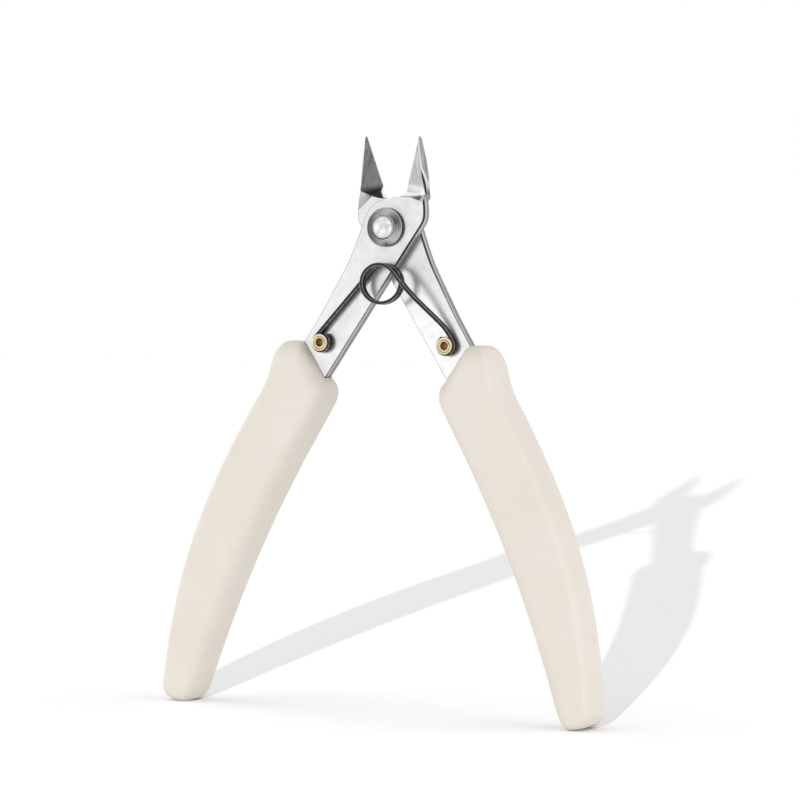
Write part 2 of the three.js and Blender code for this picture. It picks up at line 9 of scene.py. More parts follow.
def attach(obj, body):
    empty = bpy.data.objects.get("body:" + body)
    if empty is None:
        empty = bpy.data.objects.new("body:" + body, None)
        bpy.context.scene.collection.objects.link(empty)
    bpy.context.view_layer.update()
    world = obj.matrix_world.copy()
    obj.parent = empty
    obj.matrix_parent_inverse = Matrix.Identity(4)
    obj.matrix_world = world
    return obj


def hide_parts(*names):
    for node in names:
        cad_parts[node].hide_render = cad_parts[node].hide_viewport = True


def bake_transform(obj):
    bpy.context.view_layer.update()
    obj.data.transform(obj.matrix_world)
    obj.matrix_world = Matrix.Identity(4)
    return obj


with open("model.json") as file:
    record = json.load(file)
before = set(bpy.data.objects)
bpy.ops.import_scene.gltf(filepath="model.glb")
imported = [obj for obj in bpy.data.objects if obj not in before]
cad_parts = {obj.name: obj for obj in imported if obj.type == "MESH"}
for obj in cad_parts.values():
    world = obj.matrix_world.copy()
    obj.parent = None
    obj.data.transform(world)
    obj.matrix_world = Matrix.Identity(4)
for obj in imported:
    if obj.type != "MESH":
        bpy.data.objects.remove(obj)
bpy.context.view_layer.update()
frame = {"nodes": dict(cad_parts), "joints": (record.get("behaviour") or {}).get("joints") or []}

mm = 0.001
degree = math.radians(1)
pivotHeight = frame["joints"][0]["pos_m"][2]
pivotPlace = (0, 0, pivotHeight)
nodes = frame["nodes"]
sheet = 3.0
frontFace, backFace = -3.15, 0.15    # the sides of the two halves that face the collar, in mm
noLight = (0.0, 0.0, 0.0)


# Small helpers for node trees

def newMaterial(name, colour, metallic, roughness):
    material = bpy.data.materials.new(name)
    material.use_nodes = True
    shader = material.node_tree.nodes["Principled BSDF"]
    shader.inputs["Base Color"].default_value = (*colour, 1)
    shader.inputs["Metallic"].default_value = metallic
    shader.inputs["Roughness"].default_value = roughness
    material.diffuse_color = (*colour, 1)
    return material, material.node_tree, shader


def makeNode(tree, kind, settings=None, **sockets):
    node = tree.nodes.new(kind)
    for key, value in (settings or {}).items():
        setattr(node, key, value)
    for key, value in sockets.items():    # i0, i1 and so on name a socket by its number
        name = key.replace("_", " ")
        socket = node.inputs[int(key[1:])] if key[0] == "i" and key[1:].isdigit() else node.inputs[name]
        if isinstance(value, bpy.types.NodeSocket):
            tree.links.new(value, socket)
        else:
            socket.default_value = value
    return node


def maths(tree, operation, first, second=0.0, clamp=False):
    settings = {"operation": operation, "use_clamp": clamp}
    return makeNode(tree, "ShaderNodeMath", settings, i0=first, i1=second).outputs[0]


def plus(tree, first, second, clamp=False):
    return maths(tree, "ADD", first, second, clamp)


def minus(tree, first, second):
    return maths(tree, "SUBTRACT", first, second)


def times(tree, first, second):
    return maths(tree, "MULTIPLY", first, second)


def divided(tree, first, second):
    return maths(tree, "DIVIDE", first, second)


def larger(tree, first, second):
    return maths(tree, "MAXIMUM", first, second)


def remap(tree, value, fromLow, fromHigh, toLow, toHigh, smooth=False):
    settings = {"clamp": True, "interpolation_type": "SMOOTHSTEP" if smooth else "LINEAR"}
    sockets = {"i0": value, "i1": fromLow, "i2": fromHigh, "i3": toLow, "i4": toHigh}
    return makeNode(tree, "ShaderNodeMapRange", settings, **sockets).outputs[0]


def rise(tree, value, low, high, smooth=False):
    return remap(tree, value, low, high, 0.0, 1.0, smooth)


def fall(tree, value, low, high, smooth=False):
    return remap(tree, value, low, high, 1.0, 0.0, smooth)


def joined(tree, x=0.0, y=0.0, z=0.0):
    return makeNode(tree, "ShaderNodeCombineXYZ", None, X=x, Y=y, Z=z).outputs[0]


def stretched(tree, source, scale, lean=0.0):
    if lean:
        settings = {"rotation_type": "Y_AXIS"}
        source = makeNode(tree, "ShaderNodeVectorRotate", settings, Vector=source, Angle=lean).outputs[0]
    return makeNode(tree, "ShaderNodeMapping", None, Vector=source, Scale=scale).outputs[0]


def noise(tree, vector, scale, detail=2.0, rough=0.5):
    sockets = {"Vector": vector, "Scale": scale, "Detail": detail, "Roughness": rough}
    return makeNode(tree, "ShaderNodeTexNoise", None, **sockets).outputs[0]


def mixColour(tree, factor, first, second):
    node = makeNode(tree, "ShaderNodeMix", {"data_type": "RGBA"}, i0=factor)
    for place, value in ((6, first), (7, second)):
        if isinstance(value, bpy.types.NodeSocket):
            tree.links.new(value, node.inputs[place])
        else:
            node.inputs[place].default_value = (*value, 1)
    return node.outputs[2]


def ramp(tree, value, stops):
    node = makeNode(tree, "ShaderNodeValToRGB", None, Fac=value)
    marks = node.color_ramp.elements
    for k, (place, tone) in enumerate(stops):
        mark = marks[k] if k < 2 else marks.new(place)
        mark.position = place
        mark.color = (tone, tone, tone * 1.01, 1)    # steel leans a little to blue
    return node.outputs[0]


def bumped(tree, height, distance, strength=1.0, before=None):
    node = makeNode(tree, "ShaderNodeBump", None, Height=height, Distance=distance, Strength=strength)
    if before is not None:
        tree.links.new(before, node.inputs["Normal"])
    return node.outputs[0]


def objectPlace(tree):
    return makeNode(tree, "ShaderNodeTexCoord").outputs["Object"]


def axes(tree, vector):
    return makeNode(tree, "ShaderNodeSeparateXYZ", None, Vector=vector).outputs[:3]


def turnedTo(tree, vector, kind, source, target):
    settings = {"vector_type": kind, "convert_from": source, "convert_to": target}
    return makeNode(tree, "ShaderNodeVectorTransform", settings, Vector=vector).outputs[0]


def faceNormal(tree):
    world = makeNode(tree, "ShaderNodeNewGeometry").outputs["True Normal"]
    return turnedTo(tree, world, "NORMAL", "WORLD", "OBJECT")


def rolledNormal(tree, radius):
    world = makeNode(tree, "ShaderNodeBevel", {"samples": 6}, Radius=radius).outputs[0]
    return turnedTo(tree, world, "NORMAL", "WORLD", "OBJECT")


# Mesh helpers

def pieceFrom(work, name, material):
    mesh = bpy.data.meshes.new(name)
    work.to_mesh(mesh)
    work.free()
    mesh.materials.append(material)
    piece = bpy.data.objects.new(name, mesh)
    bpy.context.scene.collection.objects.link(piece)
    return piece


def smoothFaces(piece, angle):
    piece.data.polygons.foreach_set("use_smooth", [True] * len(piece.data.polygons))
    piece.data.set_sharp_from_angle(angle=angle * degree)
    piece.data.update()


def latheObject(name, profile, centre, material, steps=160, sharp=28):
    work = bmesh.new()
    path = [work.verts.new((radius * mm, y * mm, 0)) for radius, y in profile]
    edges = [work.edges.new((path[k], path[k + 1])) for k in range(len(path) - 1)]
    if profile[0][0] > 0:    # a piece with a bore closes on itself
        edges.append(work.edges.new((path[-1], path[0])))
    bmesh.ops.spin(work, geom=path + edges, cent=(0, 0, 0), axis=(0, 1, 0), angle=2 * math.pi,
                   steps=steps, use_merge=True, dvec=(0, 0, 0))
    bmesh.ops.remove_doubles(work, verts=work.verts, dist=1e-7)
    bmesh.ops.recalc_face_normals(work, faces=work.faces)
    if work.calc_volume(signed=True) < 0:
        bmesh.ops.reverse_faces(work, faces=work.faces)
    bmesh.ops.translate(work, verts=work.verts, vec=Vector(centre))
    made = pieceFrom(work, name, material)
    smoothFaces(made, sharp)
    return made


def rounded(corner, before, after, radius, steps=4):
    corner, before, after = Vector(corner), Vector(before), Vector(after)
    first = (before - corner).normalized() * radius
    second = (after - corner).normalized() * radius
    shares = [k / steps for k in range(steps + 1)]
    return [tuple(corner + first * (1 - share) ** 2 + second * share ** 2) for share in shares]


def softened(profile, radii):
    points = []
    for k, corner in enumerate(profile):
        if k in radii:
            points += rounded(corner, profile[k - 1], profile[(k + 1) % len(profile)], radii[k])
        else:
            points.append(corner)
    return points


# Painted shade, dark reflections and highlights on the jaws, placed in mm to the right of the pivot and above
# it

jawSettings = {
    "paintedDark": (0.03, 0.03, 0.031), "frontFacing": (-0.05, 0.1),
    "wedgeTop": 12.46, "wedgeFoot": 6.69, "wedgeLeft": (6.54, 1.05), "wedgeWide": (0.04, 1.15, -1.06),
    "wedgeTip": (-0.02, 0.08), "leftBlur": (-0.06, 0.10), "rightBlur": (-0.05, 0.08), "footBlur": 0.1,
    "rim": 0.28, "rimBlur": 0.14, "rimHighlight": (0.78, 0.78, 0.78),
    "chamferShade": (0.24, 0.24, 0.245), "chamferShadePale": (0.50, 0.50, 0.50), "sideStreaks": (0.36, 0.64),
    "runOutHighlight": (0.90, 0.90, 0.90), "runOutSpan": (9.4, 10.4), "runOutLean": 0.19,
    "step": [(0.15, 0.05), (0.30, 0.26), (0.58, 0.40), (0.80, 0.15), (0.9, 0.13)], "stepWide": 8.0,
    "stepFront": (-3.1, -3.0), "stepRight": (7.2, 7.4), "stepTop": (6.5, 6.9), "stepFoot": (3.6, 3.8),
    "curveLow": (6.15, 0.062, -2.2), "curveHigh": (8.00, 0.22, -7.2), "curveBlur": (-0.04, 0.12),
    "curveFade": (-1.5, 0.9), "curveBack": (0.6, 0.8), "curveRight": (-0.9, -0.7),
}
jaw = jawSettings


def jawPlace(tree, x, z):
    return divided(tree, x, mm), divided(tree, minus(tree, z, pivotHeight), mm)


def rightJawPaintedLight(tree, colour, x, y, z, ny, streaks):
    across, up = jawPlace(tree, x, z)
    facing = fall(tree, ny, *jaw["frontFacing"])

    # A painted dark wedge, painted shade and dark reflection, runs down from a point beside the bevel, with a
    # painted bright rim at its right and a chamfer painted darker beyond it
    down = divided(tree, minus(tree, jaw["wedgeTop"], up), jaw["wedgeTop"] - jaw["wedgeFoot"])
    start, slope = jaw["wedgeLeft"]
    left = plus(tree, start, times(tree, down, slope))
    start, slope, curve = jaw["wedgeWide"]
    wide = times(tree, down, plus(tree, slope, times(tree, down, curve)))
    right = plus(tree, left, plus(tree, start, larger(tree, wide, 0.0)))
    beyond = minus(tree, across, right)
    pastLeft = rise(tree, minus(tree, across, left), *jaw["leftBlur"])
    pastRight = rise(tree, beyond, *jaw["rightBlur"])
    pastRim = rise(tree, beyond, jaw["rim"], jaw["rim"] + jaw["rimBlur"])
    inJaw = rise(tree, up, jaw["wedgeFoot"] - jaw["footBlur"], jaw["wedgeFoot"] + jaw["footBlur"])
    inJaw = times(tree, inJaw, facing)
    inWedge = times(tree, inJaw, rise(tree, down, *jaw["wedgeTip"]))
    wedgeShade = larger(tree, times(tree, minus(tree, pastLeft, pastRight), inWedge), 0.0)
    side = mixColour(tree, rise(tree, streaks, *jaw["sideStreaks"]), jaw["chamferShade"], jaw["chamferShadePale"])
    side = mixColour(tree, pastRim, jaw["rimHighlight"], side)

    # A painted highlight lies at the foot of the bevel, where the wheel runs out
    leant = plus(tree, up, times(tree, across, jaw["runOutLean"]))
    onBevel = times(tree, inJaw, minus(tree, 1.0, pastLeft))
    bright = times(tree, fall(tree, leant, *jaw["runOutSpan"], True), onBevel)
    colour = mixColour(tree, bright, colour, jaw["runOutHighlight"])
    colour = mixColour(tree, times(tree, inJaw, pastRight), colour, side)

    # The step from the full sheet down to the jaw, painted in grey tones that stand in for its shade
    stepped = rise(tree, y, *(edge * mm for edge in jaw["stepFront"]))
    stepped = times(tree, stepped, fall(tree, across, *jaw["stepRight"]))
    stepped = times(tree, stepped, fall(tree, up, *jaw["stepTop"]))
    stepped = times(tree, stepped, times(tree, rise(tree, up, *jaw["stepFoot"]), facing))
    stepShade = ramp(tree, divided(tree, across, jaw["stepWide"]), jaw["step"])
    colour = mixColour(tree, stepped, colour, stepShade)
    return mixColour(tree, wedgeShade, colour, jaw["paintedDark"]), wedgeShade


def leftJawPaintedShade(tree, colour, x, y, z):
    across, up = jawPlace(tree, x, z)
    # A painted dark band below the bevel stands in for dark reflection and shade
    low, bend, middle = jaw["curveLow"]
    away = minus(tree, across, middle)
    under = plus(tree, low, times(tree, bend, times(tree, away, away)))
    high, slope, start = jaw["curveHigh"]
    over = plus(tree, high, times(tree, slope, larger(tree, minus(tree, across, start), 0.0)))
    above = rise(tree, minus(tree, up, under), *jaw["curveBlur"])
    beneath = rise(tree, minus(tree, over, up), *jaw["curveFade"], True)
    band = times(tree, above, beneath)
    band = times(tree, band, fall(tree, y, *(edge * mm for edge in jaw["curveBack"])))
    band = times(tree, band, fall(tree, across, *jaw["curveRight"]))
    return mixColour(tree, band, colour, jaw["paintedDark"]), band


# Steel halves: blasted faces, sheared walls and ground jaws

plateSettings = {
    "edgeBreak": 0.10, "sharp": 32, "wall": (0.25, 0.45), "flat": (0.985, 0.995),
    "jawFoot": 6.2, "jawBlend": 0.3, "black": (0.012, 0.012, 0.012),
    "face": (0.74, 0.74, 0.74), "faceDark": (0.67, 0.67, 0.675), "faceClouds": 0.8,
    "grain": 5200, "coarse": 900, "cloud": 420, "grainDepth": 0.010, "topShadeSpan": (-22, 4),
    "ground": (0.72, 0.72, 0.72), "groundDark": (0.42, 0.42, 0.425), "groundMarks": (0.36, 0.64),
    "markLean": 9, "markScale": (4600, 3600, 260), "broadScale": (1300, 1300, 210), "markDepth": 0.02,
    "armWall": [(0.0, 0.13), (0.24, 0.15), (0.31, 0.62), (0.42, 0.56), (0.50, 0.20), (1.0, 0.25)],
    "neckWall": [(0.0, 0.02), (0.34, 0.03), (0.42, 0.60), (0.60, 0.50), (0.68, 0.30), (1.0, 0.25)],
    "neckSpan": (-15, -7), "neckFacing": (0.0, 0.2), "arris": (0.34, 0.40),
    "bandWander": 0.10, "wanderScale": (700, 0, 700),
    "torn": (0.55, 0.555, 0.56), "tornShare": 0.22, "tornScale": (5200, 240, 5200), "tornDepth": 0.03,
    "outerWallShade": (0.27, 0.27, 0.275), "land": (0.86, 0.86, 0.87), "landFacing": (0.2, 0.6),
    "rolled": 0.3, "rolledFacing": (-0.40, -0.10), "rolledShare": 0.8,
    "roughFace": 0.52, "roughEdge": 0.40, "roughGround": 0.25, "roughCloud": 0.10,
    "halves": {
        "front_half": {"face": frontFace, "jawSide": 1, "lightGain": 1.0, "topShade": 0.10},
        "back_half": {"face": backFace, "jawSide": -1, "lightGain": 1.06, "topShade": 0.11},
    },
}
plate = plateSettings


def wallTones(tree, place, nx, y, z, half, aboveJaw):
    # A rolled arris, a burnished band, then the torn part. The dark arris tone is a painted dark reflection,
    # and walls that face right at the neck are painted darker, a painted shade. Walls that face left have no
    # dark arris.
    depth = divided(tree, minus(tree, y, half["face"] * mm), sheet * mm)
    wander = noise(tree, stretched(tree, place, plate["wanderScale"]), 1.0, 3.0)
    depth = plus(tree, depth, times(tree, minus(tree, wander, 0.5), plate["bandWander"]))
    neck = rise(tree, z, *(pivotHeight + edge * mm for edge in plate["neckSpan"]))
    neck = times(tree, neck, rise(tree, nx, *plate["neckFacing"]))
    wall = mixColour(tree, neck, ramp(tree, depth, plate["armWall"]), ramp(tree, depth, plate["neckWall"]))
    streaks = noise(tree, stretched(tree, place, plate["tornScale"]), 1.0, 4.0, 0.65)
    torn = remap(tree, streaks, 0.35, 0.7, 0.0, plate["tornShare"])
    wall = mixColour(tree, torn, wall, plate["torn"])
    # Jaw walls that face outward are painted dark, a painted shade; those facing inward get the light land
    # tone
    inward = rise(tree, times(tree, nx, -half["jawSide"]), *plate["landFacing"])
    jawWall = mixColour(tree, inward, plate["outerWallShade"], plate["land"])
    arris = times(tree, neck, fall(tree, depth, *plate["arris"]))
    arris = times(tree, arris, minus(tree, 1.0, aboveJaw))
    return mixColour(tree, aboveJaw, wall, jawWall), streaks, arris


def wheelMarks(tree, place, jawSide):
    lean = plate["markLean"] * degree * jawSide
    marks = noise(tree, stretched(tree, place, plate["markScale"], lean), 1.0, 4.0, 0.65)
    broad = noise(tree, stretched(tree, place, plate["broadScale"], lean), 1.0, 3.0, 0.6)
    return plus(tree, times(tree, marks, 0.55), times(tree, broad, 0.45))


def faceTones(tree, place, z, half):
    coarse = noise(tree, place, plate["coarse"], 3.0, 0.55)
    # The back half's faces are painted a little lighter than the front half's, a painted light
    light, dark = (tuple(c * half["lightGain"] for c in plate[tone]) for tone in ("face", "faceDark"))
    colour = mixColour(tree, remap(tree, coarse, 0.35, 0.7, 0.0, plate["faceClouds"]), light, dark)
    # The faces are painted darker towards the top, a painted shade
    low, high = (pivotHeight + edge * mm for edge in plate["topShadeSpan"])
    return mixColour(tree, remap(tree, z, low, high, 0.0, half["topShade"], True), colour, noLight)


def steelMaterial(name, half):
    material, tree, shader = newMaterial(name, plate["face"], 1.0, plate["roughFace"])
    place = objectPlace(tree)
    x, y, z = axes(tree, place)
    nx, ny = axes(tree, faceNormal(tree))[:2]
    frontness = maths(tree, "ABSOLUTE", ny)
    side = fall(tree, frontness, *plate["wall"])
    flat = rise(tree, frontness, *plate["flat"])
    foot = pivotHeight + plate["jawFoot"] * mm
    aboveJaw = rise(tree, z, foot, foot + plate["jawBlend"] * mm)
    belowJaw = minus(tree, 1.0, aboveJaw)
    ground = times(tree, aboveJaw, minus(tree, 1.0, larger(tree, side, flat)))

    wall, streaks, arris = wallTones(tree, place, nx, y, z, half, aboveJaw)
    arris = times(tree, arris, side)
    worn = wheelMarks(tree, place, half["jawSide"])
    bare = rise(tree, worn, *plate["groundMarks"])
    groundTones = mixColour(tree, bare, plate["groundDark"], plate["ground"])
    colour = mixColour(tree, side, faceTones(tree, place, z, half), wall)
    colour = mixColour(tree, ground, colour, groundTones)
    if half["jawSide"] > 0:
        colour, paintedDark = rightJawPaintedLight(tree, colour, x, y, z, ny, worn)
    else:
        colour, paintedDark = leftJawPaintedShade(tree, colour, x, y, z)

    # Edges that roll over to the left get a thin dark line of painted shade
    turned = axes(tree, rolledNormal(tree, plate["rolled"] * mm))[0]
    line = remap(tree, turned, *plate["rolledFacing"], plate["rolledShare"], 0.0)
    line = times(tree, times(tree, line, minus(tree, 1.0, side)), belowJaw)
    colour = mixColour(tree, line, colour, plate["black"])
    tree.links.new(mixColour(tree, arris, colour, plate["black"]), shader.inputs["Base Color"])
    # The painted dark on the jaws and the painted arris line are made dull and non-metallic
    dull = larger(tree, paintedDark, arris)
    tree.links.new(minus(tree, 1.0, dull), shader.inputs["Metallic"])
    tree.links.new(minus(tree, 0.5, times(tree, dull, 0.4)), shader.inputs["Specular IOR Level"])

    cloud = noise(tree, place, plate["cloud"], 3.0)
    rough = plus(tree, plate["roughFace"], times(tree, minus(tree, cloud, 0.5), plate["roughCloud"]))
    rough = plus(tree, rough, times(tree, side, plate["roughEdge"] - plate["roughFace"]))
    rough = plus(tree, rough, times(tree, ground, plate["roughGround"] - plate["roughFace"]))
    tree.links.new(rough, shader.inputs["Roughness"])

    relief = bumped(tree, noise(tree, place, plate["grain"], 3.0, 0.6), plate["grainDepth"] * mm, 0.5)
    relief = bumped(tree, times(tree, worn, ground), plate["markDepth"] * mm, 0.8, relief)
    relief = bumped(tree, times(tree, streaks, side), plate["tornDepth"] * mm, 0.7, relief)
    tree.links.new(relief, shader.inputs["Normal"])
    return material


def dressHalf(name, half):
    node = nodes[name]
    node.data.materials.clear()
    node.data.materials.append(steelMaterial("steel_" + name, half))
    node.data.polygons.foreach_set("material_index", [0] * len(node.data.polygons))
    bevel = node.modifiers.new("edges", "BEVEL")
    bevel.width = plate["edgeBreak"] * mm
    bevel.segments = 2
    bevel.limit_method = "ANGLE"
    bevel.angle_limit = plate["sharp"] * degree
    bevel.harden_normals = True


for name, half in plate["halves"].items():
    dressHalf(name, half)
print("stage: steel halves")


# Pivot rivet and collar

pivotSettings = {
    "outer": 3.15, "fit": 0.3, "pin": 2.45, "proud": 2.05, "chamfer": (0.32, 0.2),
    "head": 4.2, "headWall": 0.55, "dome": 0.75, "flat": 2.0,
    "collar": 4.05, "bore": 2.49, "boreChamfer": (0.18, 0.05), "wall": 0.75, "top": 1.9,
    "bright": (0.65, 0.65, 0.645), "brightRough": 0.48, "brightLines": 2600, "smudge": (0.50, 0.50, 0.495),
    "dark": (0.58, 0.58, 0.585), "darkRough": 0.30, "darkLines": 3400, "brushed": 0.8,
    "light": (0.77, 0.77, 0.775), "lightTurn": -8, "lightSpan": (-0.6, 0.9), "leftShade": 0.86,
    "rim": (0.05, 0.05, 0.052), "rimSpan": (0.06, 0.02),
}
pivot = pivotSettings


def turnedMetal(name, colour, rough, lines, centre, depth, tone, brushed=0.0):
    material, tree, shader = newMaterial(name, colour, 1.0, rough)
    place = objectPlace(tree)
    x, y, z = axes(tree, place)
    dx, dz = minus(tree, x, centre[0]), minus(tree, z, centre[2])
    radius = maths(tree, "SQRT", plus(tree, times(tree, dx, dx), times(tree, dz, dz)))
    rings = joined(tree, times(tree, radius, lines), times(tree, y, lines * 0.8))
    marks = noise(tree, rings, 1.0, 4.0, 0.7)
    patches = noise(tree, place, 700, 3.0, 0.55)
    darker = tuple(c * (1 - tone) for c in colour)
    lighter = tuple(min(1, c * 1.18) for c in colour)
    shade = mixColour(tree, rise(tree, marks, 0.3, 0.7), darker, colour)
    shade = mixColour(tree, remap(tree, patches, 0.4, 0.75, 0.0, 0.35), shade, lighter)
    tree.links.new(remap(tree, patches, 0.3, 0.7, rough * 0.8, rough * 1.25), shader.inputs["Roughness"])
    tree.links.new(bumped(tree, marks, depth * mm, 0.8), shader.inputs["Normal"])
    if brushed:    # the highlight is drawn out across the turning marks
        around = joined(tree, dz, 0.0, times(tree, dx, -1.0))
        tree.links.new(turnedTo(tree, around, "VECTOR", "OBJECT", "WORLD"), shader.inputs["Tangent"])
        shader.inputs["Anisotropic"].default_value = brushed
    return material, tree, shader, shade, radius


def pinMaterial():
    settings = (pivot["bright"], pivot["brightRough"], pivot["brightLines"], pivotPlace, 0.02, 0.14)
    material, tree, shader, shade = turnedMetal("rivet_bright", *settings)[:4]
    smudge = remap(tree, noise(tree, objectPlace(tree), 520, 3.0, 0.5), 0.42, 0.6, 0.0, 0.5)
    tree.links.new(mixColour(tree, smudge, shade, pivot["smudge"]), shader.inputs["Base Color"])
    return material


def collarMaterial():
    settings = (pivot["dark"], pivot["darkRough"], pivot["darkLines"], pivotPlace, 0.03, 0.35)
    material, tree, shader, shade, radius = turnedMetal("collar_dark", *settings, pivot["brushed"])
    x, z = axes(tree, objectPlace(tree))[::2]
    # The collar is painted with two highlight sectors at opposite sides, a painted highlight
    turn = maths(tree, "ARCTAN2", x, minus(tree, z, pivotHeight))
    turn = minus(tree, times(tree, turn, 2.0), 2 * pivot["lightTurn"] * degree)
    glint = maths(tree, "COSINE", turn)    # two light sectors lie opposite each other
    fine = noise(tree, joined(tree, times(tree, radius, pivot["darkLines"])), 1.0, 4.0, 0.7)
    light = mixColour(tree, remap(tree, fine, 0.3, 0.7, 0.0, 0.5), pivot["light"], pivot["dark"])
    shade = mixColour(tree, rise(tree, glint, *pivot["lightSpan"], True), shade, light)
    edge = pivot["collar"] * mm
    # The left side of the collar is painted darker, a painted shade
    shade = mixColour(tree, remap(tree, x, -edge, edge, pivot["leftShade"], 0.0), shade, noLight)
    # The collar's outer wall is painted near black, a painted shade
    wall = rise(tree, radius, *(edge - inset * mm for inset in pivot["rimSpan"]))
    tree.links.new(mixColour(tree, wall, shade, pivot["rim"]), shader.inputs["Base Color"])
    return material


def makeRivet():
    pin, head, flat, dome = (pivot[name] for name in ("pin", "head", "flat", "dome"))
    across, back = pivot["chamfer"]
    pinFront = -pivot["outer"] - pivot["proud"]
    headUnder = pivot["outer"] + pivot["fit"]
    headEdge = headUnder + pivot["headWall"]
    profile = [
        (0, pinFront + 0.03), (0.8, pinFront + 0.02), (pin - across, pinFront), (pin, pinFront + back),
        (pin, headUnder), (head, headUnder), (head, headEdge), ((head + flat) / 2, headEdge + dome * 0.75),
        (flat, headEdge + dome * 0.98), (0, headEdge + dome),
    ]
    radii = {2: 0.12, 3: 0.1, 5: 0.1, 6: 0.18, 7: 0.7, 8: 0.8}
    rivet = latheObject("rivetDressed", softened(profile, radii), pivotPlace, pinMaterial())
    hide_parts("pivot_rivet")
    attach(rivet, "front")


def makeCollar():
    bore, edge = pivot["bore"], pivot["collar"]
    across, back = pivot["boreChamfer"]
    seat = -pivot["outer"] - pivot["fit"]
    top = -pivot["outer"] - pivot["top"]
    shoulder = seat - pivot["wall"]
    profile = [
        (bore, seat), (bore, top + back), (bore + across, top),
        (edge - 0.05, shoulder), (edge, shoulder + 0.14), (edge, seat),
    ]
    radii = {2: 0.05, 3: 0.1, 4: 0.06, 5: 0.08}
    collar = latheObject("collarDressed", softened(profile, radii), pivotPlace, collarMaterial())
    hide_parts("rivet_collar")
    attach(collar, "front")


makeRivet()
makeCollar()
print("stage: pivot")


# Spring posts

postSettings = {
    "reach": 27.85, "angle": 29.2, "radius": 1.1, "bore": 0.82, "flange": 1.78, "flangeThick": 0.42,
    "flare": 1.75, "flareThick": 0.4, "fit": 0.3, "stripFit": 0.25, "strip": 1.8, "steps": 96,
    "rim": 1.56, "groove": 1.29, "lip": 1.04, "grooveDepth": 0.14, "grooveSpan": (0.03, 0.16),
    "brass": (0.77, 0.665, 0.44), "brassRough": 0.38, "brassLines": 2200,
    "grooveShade": (0.40, 0.32, 0.17), "boreShade": (0.58, 0.39, 0.19), "boreSpan": (0.02, 0.08),
}
post = postSettings
postAcross = post["reach"] * math.sin(post["angle"] * degree)
postDown = post["reach"] * math.cos(post["angle"] * degree)


def brassMaterial(name, centre):
    settings = (post["brass"], post["brassRough"], post["brassLines"], centre, 0.012, 0.10)
    material, tree, shader, shade, radius = turnedMetal(name, *settings)
    # The bore and the groove are painted darker, painted shade in the hollows
    bore = fall(tree, radius, *((post["bore"] + edge) * mm for edge in post["boreSpan"]))
    away = maths(tree, "ABSOLUTE", minus(tree, radius, post["groove"] * mm))
    groove = remap(tree, away, *(edge * mm for edge in post["grooveSpan"]), 0.6, 0.0, True)
    shade = mixColour(tree, groove, shade, post["grooveShade"])
    tree.links.new(mixColour(tree, bore, shade, post["boreShade"]), shader.inputs["Base Color"])
    return material


def makePost(name, node, body, side, face):
    bore, flange, flare, radius = (post[part] for part in ("bore", "flange", "flare", "radius"))
    under = face - 2 * post["stripFit"] - post["strip"]
    top = under - post["flangeThick"]
    flareUnder = face + sheet + post["fit"]
    flareEnd = flareUnder + post["flareThick"]
    profile = [
        (post["lip"], top), (bore, top + 0.05), (bore, flareEnd), (flare, flareEnd), (flare, flareUnder),
        (radius, flareUnder), (radius, under), (flange, under), (flange, top + 0.04), (post["rim"], top),
        (post["groove"], top + post["grooveDepth"]),
    ]
    radii = {0: 0.12, 1: 0.2, 3: 0.12, 4: 0.1, 7: 0.06, 8: 0.16, 9: 0.12, 10: 0.08}
    centre = (side * postAcross * mm, 0, pivotHeight - postDown * mm)
    brass = brassMaterial("brass_" + name, centre)
    made = latheObject(name, softened(profile, radii), centre, brass, post["steps"])
    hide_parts(node)
    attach(made, body)


makePost("leftPostDressed", "left_spring_post", "front", -1, frontFace)
makePost("rightPostDressed", "right_spring_post", "back", 1, backFace)
print("stage: posts")


# Return spring: one flat strip along its middle line

springSettings = {
    "thick": 0.72, "wide": 1.8, "corner": 0.16, "fit": 0.25, "turnGap": 0.5,
    "coil": 4.35, "across": 0.4, "drop": 11.8, "knee": (13.6, -20.8), "kneeBend": 1.6,
    "leftWrap": 262, "rightWrap": 248, "hold": 3.5, "arcStep": 4, "legSteps": 24, "kneeSteps": 8,
    "black": (0.03, 0.031, 0.034), "drawnDark": (0.010, 0.010, 0.011), "drawnLight": (0.024, 0.025, 0.027),
    "worn": (0.42, 0.42, 0.43), "metallic": 0.5, "rough": 0.42, "roughSpan": (0.34, 0.50), "sheen": 0.35,
}
strip = springSettings


def touchAngle(centre, radius, point, turn):
    away = point - centre
    return math.atan2(away.y, away.x) + turn * math.acos(radius / away.length)


def onCircle(centre, radius, angle):
    return Vector((centre.x + radius * math.cos(angle), centre.y + radius * math.sin(angle)))


def arcPath(centre, radius, first, last):
    steps = math.ceil(abs(last - first) / (strip["arcStep"] * degree))
    return [onCircle(centre, radius, first + (last - first) * k / steps) for k in range(steps + 1)]


def between(first, last):
    return [first.lerp(last, k / strip["legSteps"]) for k in range(1, strip["legSteps"])]


def bentLeg(start, knee, end):
    first = (start - knee).normalized() * strip["kneeBend"]
    second = (end - knee).normalized() * strip["kneeBend"]
    shares = [k / strip["kneeSteps"] for k in range(strip["kneeSteps"] + 1)]
    bend = [knee + first * (1 - share) ** 2 + second * share ** 2 for share in shares]
    return between(start, bend[0]) + bend + between(bend[-1], end)


def eased(share):
    share = min(max(share, 0), 1)
    return share * share * (3 - 2 * share)


